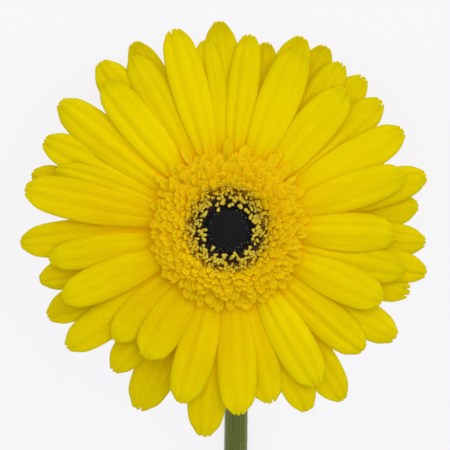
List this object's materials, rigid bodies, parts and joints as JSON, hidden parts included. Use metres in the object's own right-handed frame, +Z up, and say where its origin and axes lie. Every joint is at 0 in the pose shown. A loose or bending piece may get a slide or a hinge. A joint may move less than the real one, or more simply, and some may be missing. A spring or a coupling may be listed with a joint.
{
  "type": "cut gerbera flower",
  "caption": "Cut gerbera lying face up: long yellow ray petals round a golden crown, an open-floret ring and a dark disc, on a green cup and a bare bent stem.",
  "frame": {"origin": "on the surface that the flower lies on, under the middle of its box", "axes": "+Z up from the surface, +Y along the lying stem from its cut end to the head, +X to the right of the head"},
  "size_m": [0.1094, 0.3736, 0.0606],
  "materials": {
    "ray_petal": "lemon yellow petal skin, satin, turning golden towards the base, fine lengthwise veins",
    "crown_petal": "golden yellow petal skin, satin",
    "open_floret": "pale yellow open florets with pollen, matte",
    "closed_bud": "near-black closed buds with a faint purple cast, matte",
    "bract": "mid green bracts, darker at their tips, finely hairy, matte",
    "stem": "olive green stem, finely ribbed and downy, satin"
  },
  "bodies": {
    "root": {"ray_florets": "ray_petal", "trans_florets": "crown_petal", "open_disc_florets": "open_floret", "disc_buds": "closed_bud", "involucre": "bract", "stem": "stem"}
  },
  "joints": []
}
